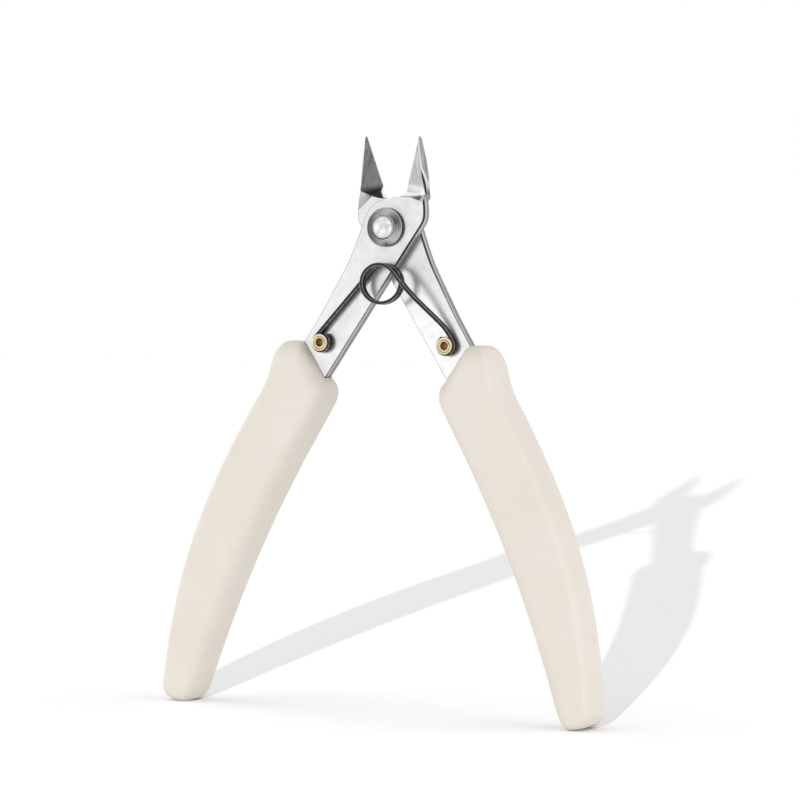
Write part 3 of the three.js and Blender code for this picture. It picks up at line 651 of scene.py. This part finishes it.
def springLine():
    rightPost, leftPost = Vector((postAcross, -postDown)), Vector((-postAcross, -postDown))
    coil, knee = Vector((strip["across"], -strip["drop"])), Vector(strip["knee"])
    coilLine = strip["coil"] - strip["thick"] / 2
    loopLine = post["radius"] + post["fit"] + strip["thick"] / 2
    rightLevel = backFace - strip["fit"] - strip["wide"] / 2
    leftLevel = frontFace - strip["fit"] - strip["wide"] / 2
    frontLevel = leftLevel - strip["wide"] - strip["turnGap"]
    rightTouch = touchAngle(rightPost, loopLine, knee, -1)
    coilStart = touchAngle(coil, coilLine, knee, 1)
    legTurn = math.acos((coilLine - loopLine) / (coil - leftPost).length)
    leftTouch = math.atan2(leftPost.y - coil.y, leftPost.x - coil.x) - legTurn + 2 * math.pi
    coilEnd = leftTouch + 2 * math.pi
    rightEnd = rightTouch - strip["rightWrap"] * degree
    leftEnd = leftTouch + strip["leftWrap"] * degree
    stub = strip["thick"]    # each hook ends in a short straight piece

    start = onCircle(rightPost, loopLine, rightEnd)
    places = [(start + Vector((math.sin(rightEnd), -math.cos(rightEnd))) * stub, rightLevel)]
    places += [(point, rightLevel) for point in arcPath(rightPost, loopLine, rightEnd, rightTouch)]

    # The long leg comes forward from the back half's level to the front of the turn
    legFrom, legTo = onCircle(rightPost, loopLine, rightTouch), onCircle(coil, coilLine, coilStart)
    length = (legFrom - knee).length + (knee - legTo).length - strip["hold"]
    gone, last = 0.0, legFrom
    for point in bentLeg(legFrom, knee, legTo):
        gone += (point - last).length
        last = point
        places.append((point, rightLevel + (frontLevel - rightLevel) * eased(gone / length)))

    # The turn goes back to the front half's level in its last round
    wound = arcPath(coil, coilLine, coilStart, coilEnd)
    shared = coilEnd - coilStart - 2 * math.pi
    for k, point in enumerate(wound):
        angle = (coilEnd - coilStart) * k / (len(wound) - 1)
        sunk = eased((angle - shared) / (2 * math.pi - shared))
        places.append((point, frontLevel + (leftLevel - frontLevel) * sunk))

    legFrom, legTo = onCircle(coil, coilLine, coilEnd), onCircle(leftPost, loopLine, leftTouch)
    places += [(point, leftLevel) for point in between(legFrom, legTo)]
    places += [(point, leftLevel) for point in arcPath(leftPost, loopLine, leftTouch, leftEnd)]
    end = onCircle(leftPost, loopLine, leftEnd)
    places.append((end + Vector((-math.sin(leftEnd), math.cos(leftEnd))) * stub, leftLevel))
    return [Vector((point.x * mm, y * mm, pivotHeight + point.y * mm)) for point, y in places]


def stripSection():
    a, b, c = strip["thick"] / 2, strip["wide"] / 2, strip["corner"]
    points = []
    for cx, cy, start in ((a - c, b - c, 0), (c - a, b - c, 90), (c - a, c - b, 180), (a - c, c - b, 270)):
        for k in range(4):
            angle = (start + 30 * k) * degree
            points.append((cx + c * math.cos(angle), cy + c * math.sin(angle)))
    return points


def springMaterial():
    material, tree, shader = newMaterial("spring_black", strip["black"], strip["metallic"], strip["rough"])
    place = objectPlace(tree)
    edge = makeNode(tree, "ShaderNodeAttribute", {"attribute_name": "edge"}).outputs["Fac"]
    wander = noise(tree, place, 1600, 4.0, 0.6)
    drawn = noise(tree, place, 5200, 3.0, 0.6)
    # The strip's corners are painted lighter: wear, and a painted highlight along the edges
    edgeWearAndHighlight = times(tree, edge, remap(tree, wander, 0.35, 0.62, 0.25, 1.0))
    tone = mixColour(tree, rise(tree, drawn, 0.3, 0.7), strip["drawnDark"], strip["drawnLight"])
    tree.links.new(mixColour(tree, edgeWearAndHighlight, tone, strip["worn"]), shader.inputs["Base Color"])
    tree.links.new(remap(tree, wander, 0.3, 0.7, *strip["roughSpan"]), shader.inputs["Roughness"])
    tree.links.new(bumped(tree, drawn, 0.012 * mm, 0.6), shader.inputs["Normal"])
    shader.inputs["Specular IOR Level"].default_value = strip["sheen"]
    return material


def makeSpring():
    line, section = springLine(), stripSection()
    work = bmesh.new()
    edgeWearAndHighlight = work.verts.layers.float.new("edge")
    ring = [work.verts.new() for corner in section]
    edges = [work.edges.new((ring[k], ring[(k + 1) % len(ring)])) for k in range(len(ring))]
    for k, place in enumerate(line):
        before, after = line[max(k - 1, 0)], line[min(k + 1, len(line) - 1)]
        heading = Vector((after.x - before.x, after.z - before.z)).normalized()
        side = Vector((-heading.y, 0, heading.x))
        if k == 0:
            bmesh.ops.contextual_create(work, geom=edges)
        else:
            made = bmesh.ops.extrude_edge_only(work, edges=edges)["geom"]
            edges = [e for e in made if isinstance(e, bmesh.types.BMEdge) and all(v in made for v in e.verts)]
            fresh = [v for v in made if isinstance(v, bmesh.types.BMVert)]
            ring = [next(n for n in fresh if any(e.other_vert(n) is v for e in n.link_edges)) for v in ring]
        for corner, (a, b) in enumerate(section):
            ring[corner].co = place + side * a * mm + Vector((0, b * mm, 0))
            ring[corner][edgeWearAndHighlight] = 1.0 if corner % 4 in (1, 2) else 0.0    # the middle of a rounded corner
    bmesh.ops.contextual_create(work, geom=[e for e in work.edges if e.is_boundary])
    bmesh.ops.recalc_face_normals(work, faces=work.faces)
    spring = pieceFrom(work, "springDressed", springMaterial())
    smoothFaces(spring, 50)
    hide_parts("return_spring")
    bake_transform(spring)


makeSpring()
print("stage: spring")


# Moulded grips. The shares are parts of the grip's spread and of its height.

gripSettings = {
    "top": 24.0, "height": 77.7, "spread": 49.0, "thick": 12.5, "footThick": 11.6, "inner": 3.6, "outer": 2.3,
    "topReach": 5.0, "foot": 1.5, "footThin": 0.88, "power": 2.3, "topPull": 5, "footPull": 18,
    "overrun": 0.8, "across": 64, "along": 130, "footAngle": 12, "footAcross": 44.2, "footMiddle": 44.9,
    "footHalf": 4.3, "footDeep": 5.2, "roundUp": 3.2, "roundAcross": 2.5, "roundDeep": 1.6,
    "footLoops": (0.02, 0.06, 0.13, 0.23, 0.37, 0.55, 0.77),
    "armAngle": 33, "armInner": 6.0, "armOuter": 2.15, "slotTop": 15, "shoulder": 36.0, "tangEnd": 54.0,
    "tangInset": 0.95, "slotFit": 0.18,
    "cream": (0.82, 0.765, 0.685), "creamDark": (0.808, 0.750, 0.668), "creamLight": (0.834, 0.780, 0.704),
    "pore": (0.70, 0.64, 0.56), "seamTone": (0.62, 0.56, 0.48), "seam": 0.11,
    "rough": 0.55, "roughSpan": (0.50, 0.62), "sheen": 0.42,
    "outerShares": [(0.4755, 0.0095), (0.498, 0.046), (0.535, 0.116), (0.6245, 0.2125), (0.739, 0.347),
                    (0.838, 0.489), (0.917, 0.643), (0.968, 0.798), (0.996, 0.933), (0.9985, 0.982)],
    "innerShares": [(0.248, 0.1235), (0.259, 0.162), (0.31, 0.226), (0.406, 0.335), (0.511, 0.464),
                    (0.601, 0.586), (0.690, 0.721), (0.765, 0.849), (0.822, 0.952), (0.853, 0.996)],
    "topShares": [(0.4755, 0.0095), (0.452, 0.001), (0.42, 0.0), (0.3735, 0.0035), (0.351, 0.022),
                  (0.311, 0.06), (0.27, 0.0985), (0.2545, 0.11), (0.248, 0.1235)],
    "footShares": [(0.9985, 0.982), (0.985, 0.999), (0.95, 1.008), (0.915, 1.011), (0.88, 1.012),
                   (0.853, 0.996)],
}
mould = gripSettings


def through(line, amount):
    points = np.array([(a * mould["spread"], -mould["top"] - d * mould["height"]) for a, d in mould[line]])
    place = (len(points) - 1) * np.clip(amount, 0, 1)
    first = np.minimum(np.floor(place).astype(int), len(points) - 2)
    share = (place - first)[..., None]
    before = points[np.maximum(first - 1, 0)]
    a, b = points[first], points[first + 1]
    after = points[np.minimum(first + 2, len(points) - 1)]
    va, vb = (b - before) * 0.5, (after - a) * 0.5
    cube = (2 * a - 2 * b + va + vb) * share ** 3
    return cube + (-3 * a + 3 * b - 2 * va - vb) * share ** 2 + va * share + a


def fullness(distance, reach):
    share = np.clip(distance / reach, 0, 1)
    return (1 - (1 - share) ** mould["power"]) ** (1 / mould["power"])


def fromSide(s, u):
    return through("outerShares", u) * (1 - s[..., None]) + through("innerShares", u) * s[..., None]


def onGrip(s, u):
    topBulge = through("topShares", s) - fromSide(s, np.zeros_like(u))
    footBulge = through("footShares", s) - fromSide(s, np.ones_like(u))
    topPull, footPull = (1 - u) ** mould["topPull"], u ** mould["footPull"]
    return fromSide(s, u) + topBulge * topPull[..., None] + footBulge * footPull[..., None]


def gripPlaces(across, along):
    s = 0.5 - 0.5 * np.cos(across * math.pi)
    u = along * along * 0.5 + along * 0.5
    here = onGrip(s, u)
    wide = np.linalg.norm(through("outerShares", u) - through("innerShares", u), axis=-1)
    fromTop = np.linalg.norm(here - onGrip(s, np.zeros_like(u)), axis=-1)
    fromFoot = np.linalg.norm(here - onGrip(s, np.ones_like(u)), axis=-1)
    thick = mould["thick"] + (mould["footThick"] - mould["thick"]) * u
    thin = mould["footThin"]
    depth = thick / 2 * (thin + (1 - thin) * fullness(fromFoot - mould["overrun"], mould["foot"]))
    depth *= fullness(fromTop, mould["topReach"])
    depth *= fullness(s * wide, mould["outer"]) * fullness((1 - s) * wide, mould["inner"])
    rim = (across < 1e-6) | (across > 1 - 1e-6) | (along < 1e-6)
    return here, np.where(rim, 0, depth)


def gripMaterial(name):
    material, tree, shader = newMaterial(name, mould["cream"], 0.0, mould["rough"])
    place = objectPlace(tree)
    seam = makeNode(tree, "ShaderNodeAttribute", {"attribute_name": "seam"}).outputs["Fac"]
    cloud = noise(tree, place, 95, 4.0, 0.55)
    fine = noise(tree, place, 2300, 3.0, 0.55)
    cells = {"Vector": place, "Scale": 1500.0, "Smoothness": 0.8}
    peel = makeNode(tree, "ShaderNodeTexVoronoi", {"feature": "SMOOTH_F1"}, **cells).outputs[0]
    tone = mixColour(tree, rise(tree, cloud, 0.3, 0.7), mould["creamDark"], mould["creamLight"])
    tone = mixColour(tree, remap(tree, peel, 0.0, 0.5, 0.10, 0.0), tone, mould["pore"])
    ridge = fall(tree, maths(tree, "ABSOLUTE", seam), 0.0, mould["seam"], True)
    tone = mixColour(tree, times(tree, ridge, 0.10), tone, mould["seamTone"])
    tree.links.new(tone, shader.inputs["Base Color"])
    tree.links.new(remap(tree, fine, 0.3, 0.7, *mould["roughSpan"]), shader.inputs["Roughness"])
    relief = bumped(tree, peel, 0.03 * mm, 0.6)
    relief = bumped(tree, fine, 0.012 * mm, 0.5, relief)
    relief = bumped(tree, ridge, 0.05 * mm, 0.9, relief)
    tree.links.new(relief, shader.inputs["Normal"])
    shader.inputs["Specular IOR Level"].default_value = mould["sheen"]
    return material


def slotCutter(side, middle):
    angle, fit = mould["armAngle"] * degree, mould["slotFit"]
    top, shoulder, end = mould["slotTop"], mould["shoulder"] + fit, mould["tangEnd"] + fit
    inner, outer = mould["armInner"] + fit, -mould["armOuter"] - fit
    tangInner, tangOuter = inner - mould["tangInset"], outer + mould["tangInset"]
    corners = [(top, inner), (shoulder, inner), (shoulder, tangInner), (end, tangInner),
               (end, tangOuter), (shoulder, tangOuter), (shoulder, outer), (top, outer)]
    halfSlot = sheet / 2 + fit
    work = bmesh.new()
    outline = []
    for along, across in corners:
        x = across * math.cos(angle) - along * math.sin(angle)
        z = -along * math.cos(angle) - across * math.sin(angle)
        outline.append(work.verts.new((-side * x * mm, (middle - halfSlot) * mm, pivotHeight + z * mm)))
    face = work.faces.new(outline)
    grown = bmesh.ops.extrude_face_region(work, geom=[face])["geom"]
    moved = [v for v in grown if isinstance(v, bmesh.types.BMVert)]
    bmesh.ops.translate(work, verts=moved, vec=(0, 2 * halfSlot * mm, 0))
    bmesh.ops.recalc_face_normals(work, faces=work.faces)
    return pieceFrom(work, "slotCutter", gripCream)


def cutSlot(grip, side, middle):
    cutter = slotCutter(side, middle)
    boolean = grip.modifiers.new("slot", "BOOLEAN")
    boolean.operation = "DIFFERENCE"
    boolean.object = cutter
    boolean.solver = "EXACT"
    bpy.context.view_layer.update()
    shaped = bpy.data.meshes.new_from_object(grip.evaluated_get(bpy.context.evaluated_depsgraph_get()))
    grip.modifiers.clear()
    grip.data = shaped
    bpy.data.objects.remove(cutter)


def roundFoot(work, side, footPoint, footOut):
    for share in mould["footLoops"]:
        bmesh.ops.bisect_plane(work, geom=work.verts[:] + work.edges[:] + work.faces[:], dist=1e-8,
                               plane_co=footPoint - footOut * mould["roundUp"] * share * mm, plane_no=footOut)
    across = Vector((-footOut.z, 0, footOut.x)) * side
    middle = Vector((side * mould["footMiddle"] * mm, 0, 0))
    for v in work.verts:
        above = (footPoint - v.co).dot(footOut) / mm
        if above < mould["roundUp"]:
            pull = 1 - float(fullness(max(above, 0), mould["roundUp"]))
            reach = (v.co - middle).dot(across) / (mould["footHalf"] * mm)
            v.co -= across * reach * mould["roundAcross"] * pull * mm
            v.co.y -= v.co.y / mould["footDeep"] * mould["roundDeep"] * pull


def makeGrip(name, node, body, side, face):
    middle = face + sheet / 2
    work = bmesh.new()
    bmesh.ops.create_grid(work, x_segments=mould["across"], y_segments=mould["along"], size=0.5)
    flat = np.array([v.co for v in work.verts])
    here, depth = gripPlaces(np.clip(flat[:, 0] + 0.5, 0, 1), np.clip(0.5 - flat[:, 1], 0, 1))
    for v, (x, z), d in zip(work.verts, here, depth):
        v.co = (side * x * mm, -d * mm, pivotHeight + z * mm)
    corners = [v for v in work.verts if len(v.link_faces) == 1]
    bmesh.ops.dissolve_verts(work, verts=corners)    # a corner's two mirrored faces would lie in one place
    bmesh.ops.mirror(work, geom=work.verts[:] + work.edges[:] + work.faces[:], axis="Y", merge_dist=1e-6)
    bmesh.ops.remove_doubles(work, verts=work.verts, dist=1e-6)

    slope = mould["footAngle"] * degree
    footPoint = Vector((side * mould["footAcross"] * mm, 0, 0))
    footOut = Vector((side * math.sin(slope), 0, -math.cos(slope)))
    bmesh.ops.bisect_plane(work, geom=work.verts[:] + work.edges[:] + work.faces[:], dist=1e-8,
                           plane_co=footPoint, plane_no=footOut, clear_outer=True)
    bmesh.ops.contextual_create(work, geom=[e for e in work.edges if e.is_boundary])
    roundFoot(work, side, footPoint, footOut)
    bmesh.ops.recalc_face_normals(work, faces=work.faces)
    bmesh.ops.translate(work, verts=work.verts, vec=(0, middle * mm, 0))

    grip = pieceFrom(work, name, gripCream)
    cutSlot(grip, side, middle)
    seam = grip.data.attributes.new("seam", "FLOAT", "POINT")
    seam.data.foreach_set("value", [v.co.y / mm - middle for v in grip.data.vertices])
    smoothFaces(grip, 45)
    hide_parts(node)
    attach(grip, body)
    return grip


gripCream = gripMaterial("grip_cream")
leftGrip = makeGrip("leftGripDressed", "left_grip", "front", -1, frontFace)
rightGrip = makeGrip("rightGripDressed", "right_grip", "back", 1, backFace)
print("stage: grips")


# Floor, backdrop colour and lamps. Azimuth 0 is the collar's side.
# The far lamp is placed in mm, the other lamps and the cards in metres.

stageSettings = {
    "floor": (0.52, 0.52, 0.52), "shade": (0.70, 0.70, 0.70), "size": 20.0, "under": 0.03, "sky": 0.62,
    "farPower": 59.0, "farRadius": 3.6, "farAzimuth": 16.5, "farAway": 990.0, "farHeight": 197.0,
    # azimuth, elevation, angle, power
    "softLamps": {"leftSoft": (-60, 55, 75, 1.28), "rightSoft": (105, 40, 75, 1.06)},
    # what it lights, then azimuth, elevation, distance, size, power and aim
    "areaLamps": {
        "keyLamp": ("tool", -15, 2.5, 1.2, 0.32, 3.8, (0, 0, 0.07)),
        "rimLamp": ("leftGrip", -97, 10, 1.3, 0.8, 4.0, (0, 0, 0.07)),
        "topLamp": ("dressed", 60, 58, 1.3, 0.9, 1.8, (0, 0, 0.07)),
        "sideLamp": ("grips", 95, 3, 0.45, 0.3, 0.8, (0.03, 0, 0.01)),
    },
    # azimuth, elevation, distance, width, height, tone
    "cards": {"frontCard": (-8, 5, 1.7, 4.0, 3.2, 0.10), "darkCard": (28, 22, 1.1, 0.8, 1.4, 0.02)},
    "cardMiddle": 0.09,
}
studio = stageSettings


def direction(azimuth, elevation):
    a, e = azimuth * degree, elevation * degree
    return Vector((math.sin(a) * math.cos(e), -math.cos(a) * math.cos(e), math.sin(e)))


def makeStage():
    material, tree, shader = newMaterial("floor_pale", studio["floor"], 0.0, 0.7)
    path = makeNode(tree, "ShaderNodeLightPath").outputs
    seen = plus(tree, path["Is Camera Ray"], path["Is Glossy Ray"], True)
    plain = makeNode(tree, "ShaderNodeBsdfDiffuse", None, Color=(*studio["shade"], 1)).outputs[0]
    choice = makeNode(tree, "ShaderNodeMixShader", None, i0=seen, i1=shader.outputs[0], i2=plain)
    tree.links.new(choice.outputs[0], tree.nodes["Material Output"].inputs["Surface"])
    work = bmesh.new()
    bmesh.ops.create_grid(work, x_segments=1, y_segments=1, size=studio["size"])
    bmesh.ops.translate(work, verts=work.verts, vec=(0, 0, -studio["under"] * mm))
    floor = pieceFrom(work, "floor", material)
    return floor


def makeWorld():
    world = bpy.data.worlds.new("studio")
    bpy.context.scene.world = world
    world.use_nodes = True
    tree = world.node_tree
    background = tree.nodes["Background"]
    path = makeNode(tree, "ShaderNodeLightPath").outputs
    seen = plus(tree, path["Is Camera Ray"], path["Is Glossy Ray"], True)
    seen = plus(tree, seen, path["Is Transmission Ray"], True)
    tree.links.new(remap(tree, seen, 0.0, 1.0, studio["sky"], 1.0), background.inputs["Strength"])
    background.inputs["Color"].default_value = (1, 1, 1, 1)


def onlyOn(name, pieces):
    group = bpy.data.collections.new(name)
    for piece in pieces:
        group.objects.link(piece)
    return group


def placedLamp(light, receivers, place, away):
    lamp = bpy.data.objects.new(light.name, light)
    bpy.context.scene.collection.objects.link(lamp)
    lamp.location = place
    lamp.rotation_mode = "QUATERNION"
    lamp.rotation_quaternion = away.to_track_quat("Z", "Y")
    lamp.light_linking.receiver_collection = receivers


def shadowLamp(receivers):
    light = bpy.data.lights.new("shadowLamp", "POINT")
    light.energy = studio["farPower"]
    light.shadow_soft_size = studio["farRadius"] * mm
    light.use_nodes = True
    tree = light.node_tree
    emission = next(node for node in tree.nodes if node.type == "EMISSION")
    even = makeNode(tree, "ShaderNodeLightFalloff", None, Strength=1.0).outputs["Constant"]
    ray = makeNode(tree, "ShaderNodeLightPath").outputs["Ray Length"]
    tree.links.new(times(tree, even, ray), emission.inputs["Strength"])
    away = direction(studio["farAzimuth"], 0)
    place = away * studio["farAway"] * mm + Vector((0, 0, studio["farHeight"] * mm))
    placedLamp(light, receivers, place, away)


def softLamp(name, receivers, azimuth, elevation, angle, power):
    light = bpy.data.lights.new(name, "SUN")
    light.energy = power
    light.angle = angle * degree
    placedLamp(light, receivers, (0, 0, 0), direction(azimuth, elevation))


def areaLamp(name, receivers, azimuth, elevation, distance, size, power, aim):
    light = bpy.data.lights.new(name, "AREA")
    light.shape = "SQUARE"
    light.size = size
    light.energy = power
    away = direction(azimuth, elevation)
    placedLamp(light, receivers, Vector(aim) + away * distance, away)


def makeCard(name, azimuth, elevation, distance, width, height, tone):
    material = newMaterial(name, (tone, tone, tone), 0.0, 0.9)[0]
    away = direction(azimuth, elevation)
    work = bmesh.new()
    bmesh.ops.create_grid(work, x_segments=1, y_segments=1, size=0.5)
    bmesh.ops.scale(work, verts=work.verts, vec=(width, height, 1))
    turn = away.to_track_quat("Z", "Y").to_matrix()
    bmesh.ops.rotate(work, verts=work.verts, cent=(0, 0, 0), matrix=turn)
    bmesh.ops.translate(work, verts=work.verts, vec=Vector((0, 0, studio["cardMiddle"])) + away * distance)
    card = pieceFrom(work, name, material)
    card.visible_camera = card.visible_diffuse = card.visible_shadow = card.visible_transmission = False


def lightStage(floor):
    pieces = [piece for piece in bpy.context.scene.objects if piece.type == "MESH" and piece is not floor]
    halves = [nodes[name] for name in plate["halves"]]
    onFloor = onlyOn("floorOnly", [floor])
    lit = {
        "tool": onlyOn("toolOnly", pieces),
        "dressed": onlyOn("dressedOnly", [piece for piece in pieces if piece not in halves]),
        "leftGrip": onlyOn("leftOnly", [leftGrip]),
        "grips": onlyOn("gripsOnly", [leftGrip, rightGrip]),
    }
    shadowLamp(onFloor)
    for name, settings in studio["softLamps"].items():
        softLamp(name, onFloor, *settings)
    for name, (what, *settings) in studio["areaLamps"].items():
        areaLamp(name, lit[what], *settings)
    for name, settings in studio["cards"].items():
        makeCard(name, *settings)


# The camera as it was fitted to the photograph, focal length in pixels

cameraSettings = {
    "azimuth": 25.114, "elevation": -2.334, "distance": 668.2, "yaw": -0.217, "pitch": 0.743, "roll": 1.694,
    "focal": 3190.4, "pixels": 800, "sensor": 36, "clip": (0.01, 100),
}
view = cameraSettings


def makeCamera():
    place = direction(view["azimuth"], view["elevation"]) * view["distance"] * mm + Vector(pivotPlace)
    back = direction(view["azimuth"] + view["yaw"], view["pitch"])
    right = Vector((0, 0, 1)).cross(back).normalized()
    up = back.cross(right)
    c, s = math.cos(view["roll"] * degree), math.sin(view["roll"] * degree)
    right, up = right * c + up * s, up * c - right * s
    data = bpy.data.cameras.new("camera")
    data.sensor_width = view["sensor"]
    data.lens = view["focal"] * view["sensor"] / view["pixels"]
    data.clip_start, data.clip_end = view["clip"]
    camera = bpy.data.objects.new("camera", data)
    bpy.context.scene.collection.objects.link(camera)
    camera.matrix_world = Matrix.Translation(place) @ Matrix((right, up, back)).transposed().to_4x4()
    bpy.context.scene.camera = camera


floor = makeStage()
makeWorld()
lightStage(floor)
makeCamera()
bpy.context.scene.view_settings.view_transform = "Standard"
print("stage: floor, lamps and camera")

print("stage: done")
